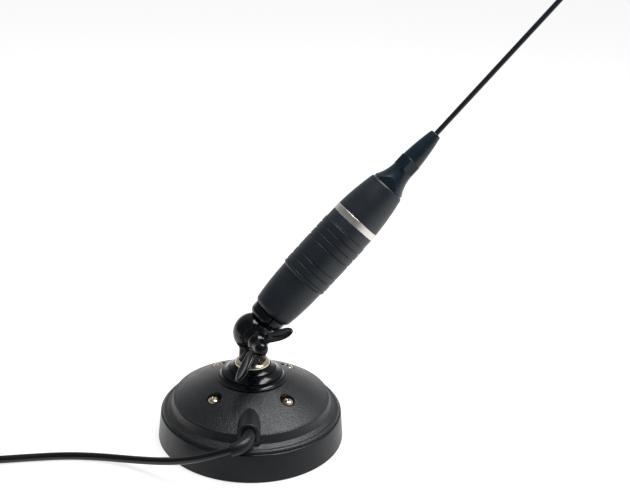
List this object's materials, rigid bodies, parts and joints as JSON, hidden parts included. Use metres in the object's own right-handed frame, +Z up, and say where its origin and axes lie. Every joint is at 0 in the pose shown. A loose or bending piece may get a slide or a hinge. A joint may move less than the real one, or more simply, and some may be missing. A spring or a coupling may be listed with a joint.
{
  "type": "tilting magnetic base antenna",
  "caption": "Loaded radio whip on a tilting wing-screw ball joint, held by a round magnetic base with a coaxial lead and screw plug.",
  "frame": {"origin": "centre of the magnet's pulling face, on the floor", "axes": "+Z up along the base's axis; the antenna tilts in the XZ plane and leans towards +X; the joint's axis runs along Y, with the wing screw towards -Y"},
  "size_m": [0.5495, 0.1602, 0.394],
  "materials": {
    "boot_rubber": "satin",
    "cover_plastic": "fine texture",
    "bright_steel": "nickel plated",
    "gloss_black_metal": "gloss",
    "nickel": "polished",
    "black_spring_steel": "blackened",
    "housing_plastic": "satin",
    "silver_band": "satin",
    "satin_black_metal": "satin",
    "whip_coat": "satin",
    "relief_rubber": "satin",
    "cable_jacket": "smooth",
    "zinc_steel": "zinc plated",
    "ferrite": "ground",
    "nylon": "natural",
    "brass": "machined",
    "tinned_brass": "tinned",
    "fibre": "vulcanised fibre",
    "former_plastic": "smooth",
    "copper": "enamelled wire",
    "tie_rubber": "matt"
  },
  "bodies": {
    "base": {"rubber_boot": "boot_rubber", "steel_pot": "zinc_steel", "ring_magnet": "ferrite", "base_cover": "cover_plastic", "cover_screws": "bright_steel", "mount_cone": "gloss_black_metal", "mount_nut": "zinc_steel", "contact_ring": "nickel", "mount_insulator": "nylon", "centre_stud": "brass", "stud_nut": "brass", "solder_lug": "tinned_brass", "inner_cable": "cable_jacket", "cable_boot": "relief_rubber", "lower_knuckle": "gloss_black_metal", "friction_disc": "fibre", "cable_run": "cable_jacket", "cable_coil": "cable_jacket", "coil_tie": "tie_rubber", "cable_tail": "cable_jacket", "plug_body": "nickel", "plug_insulator": "nylon", "plug_pin": "nickel"},
    "antenna": {"upper_knuckle": "gloss_black_metal", "coil_housing": "housing_plastic", "trim_ring": "silver_band", "upper_housing": "housing_plastic", "base_ferrule": "brass", "coil_former": "former_plastic", "coil_winding": "copper", "whip_adaptor": "satin_black_metal", "whip_holder": "satin_black_metal", "whip_collet": "brass"},
    "rod": {"whip": "whip_coat"},
    "clamp": {"spring_washer": "black_spring_steel"},
    "wing": {"wing_screw": "gloss_black_metal"},
    "plug_collar": {"plug_ring": "nickel"}
  },
  "joints": [
    {"name": "antenna_tilt", "type": "hinge", "parent": "base", "child": "antenna", "pos_m": [0, 0, 0.075], "axis": [0, 1, 0], "range_deg": [-132.2, 47.8]},
    {"name": "whip_slide", "type": "slide", "parent": "antenna", "child": "rod", "axis": [0.6717, 0, 0.7408], "range_m": [-0.01, 0.01]},
    {"name": "wing_travel", "type": "slide", "parent": "base", "child": "clamp", "axis": [0, -1, 0], "range_m": [0, 0.002]},
    {"name": "wing_turn", "type": "hinge", "parent": "clamp", "child": "wing", "pos_m": [0, 0, 0.075], "axis": [0, -1, 0], "range_deg": [0, 720]},
    {"name": "plug_ring_spin", "type": "hinge", "parent": "base", "child": "plug_collar", "pos_m": [-0.1835, -0.0884, 0.0093], "axis": [1, 0, 0], "continuous": true}
  ],
  "couplings": [
    {"joint": "wing_travel", "follows": "wing_turn", "m_per_rad": 0.000159}
  ]
}
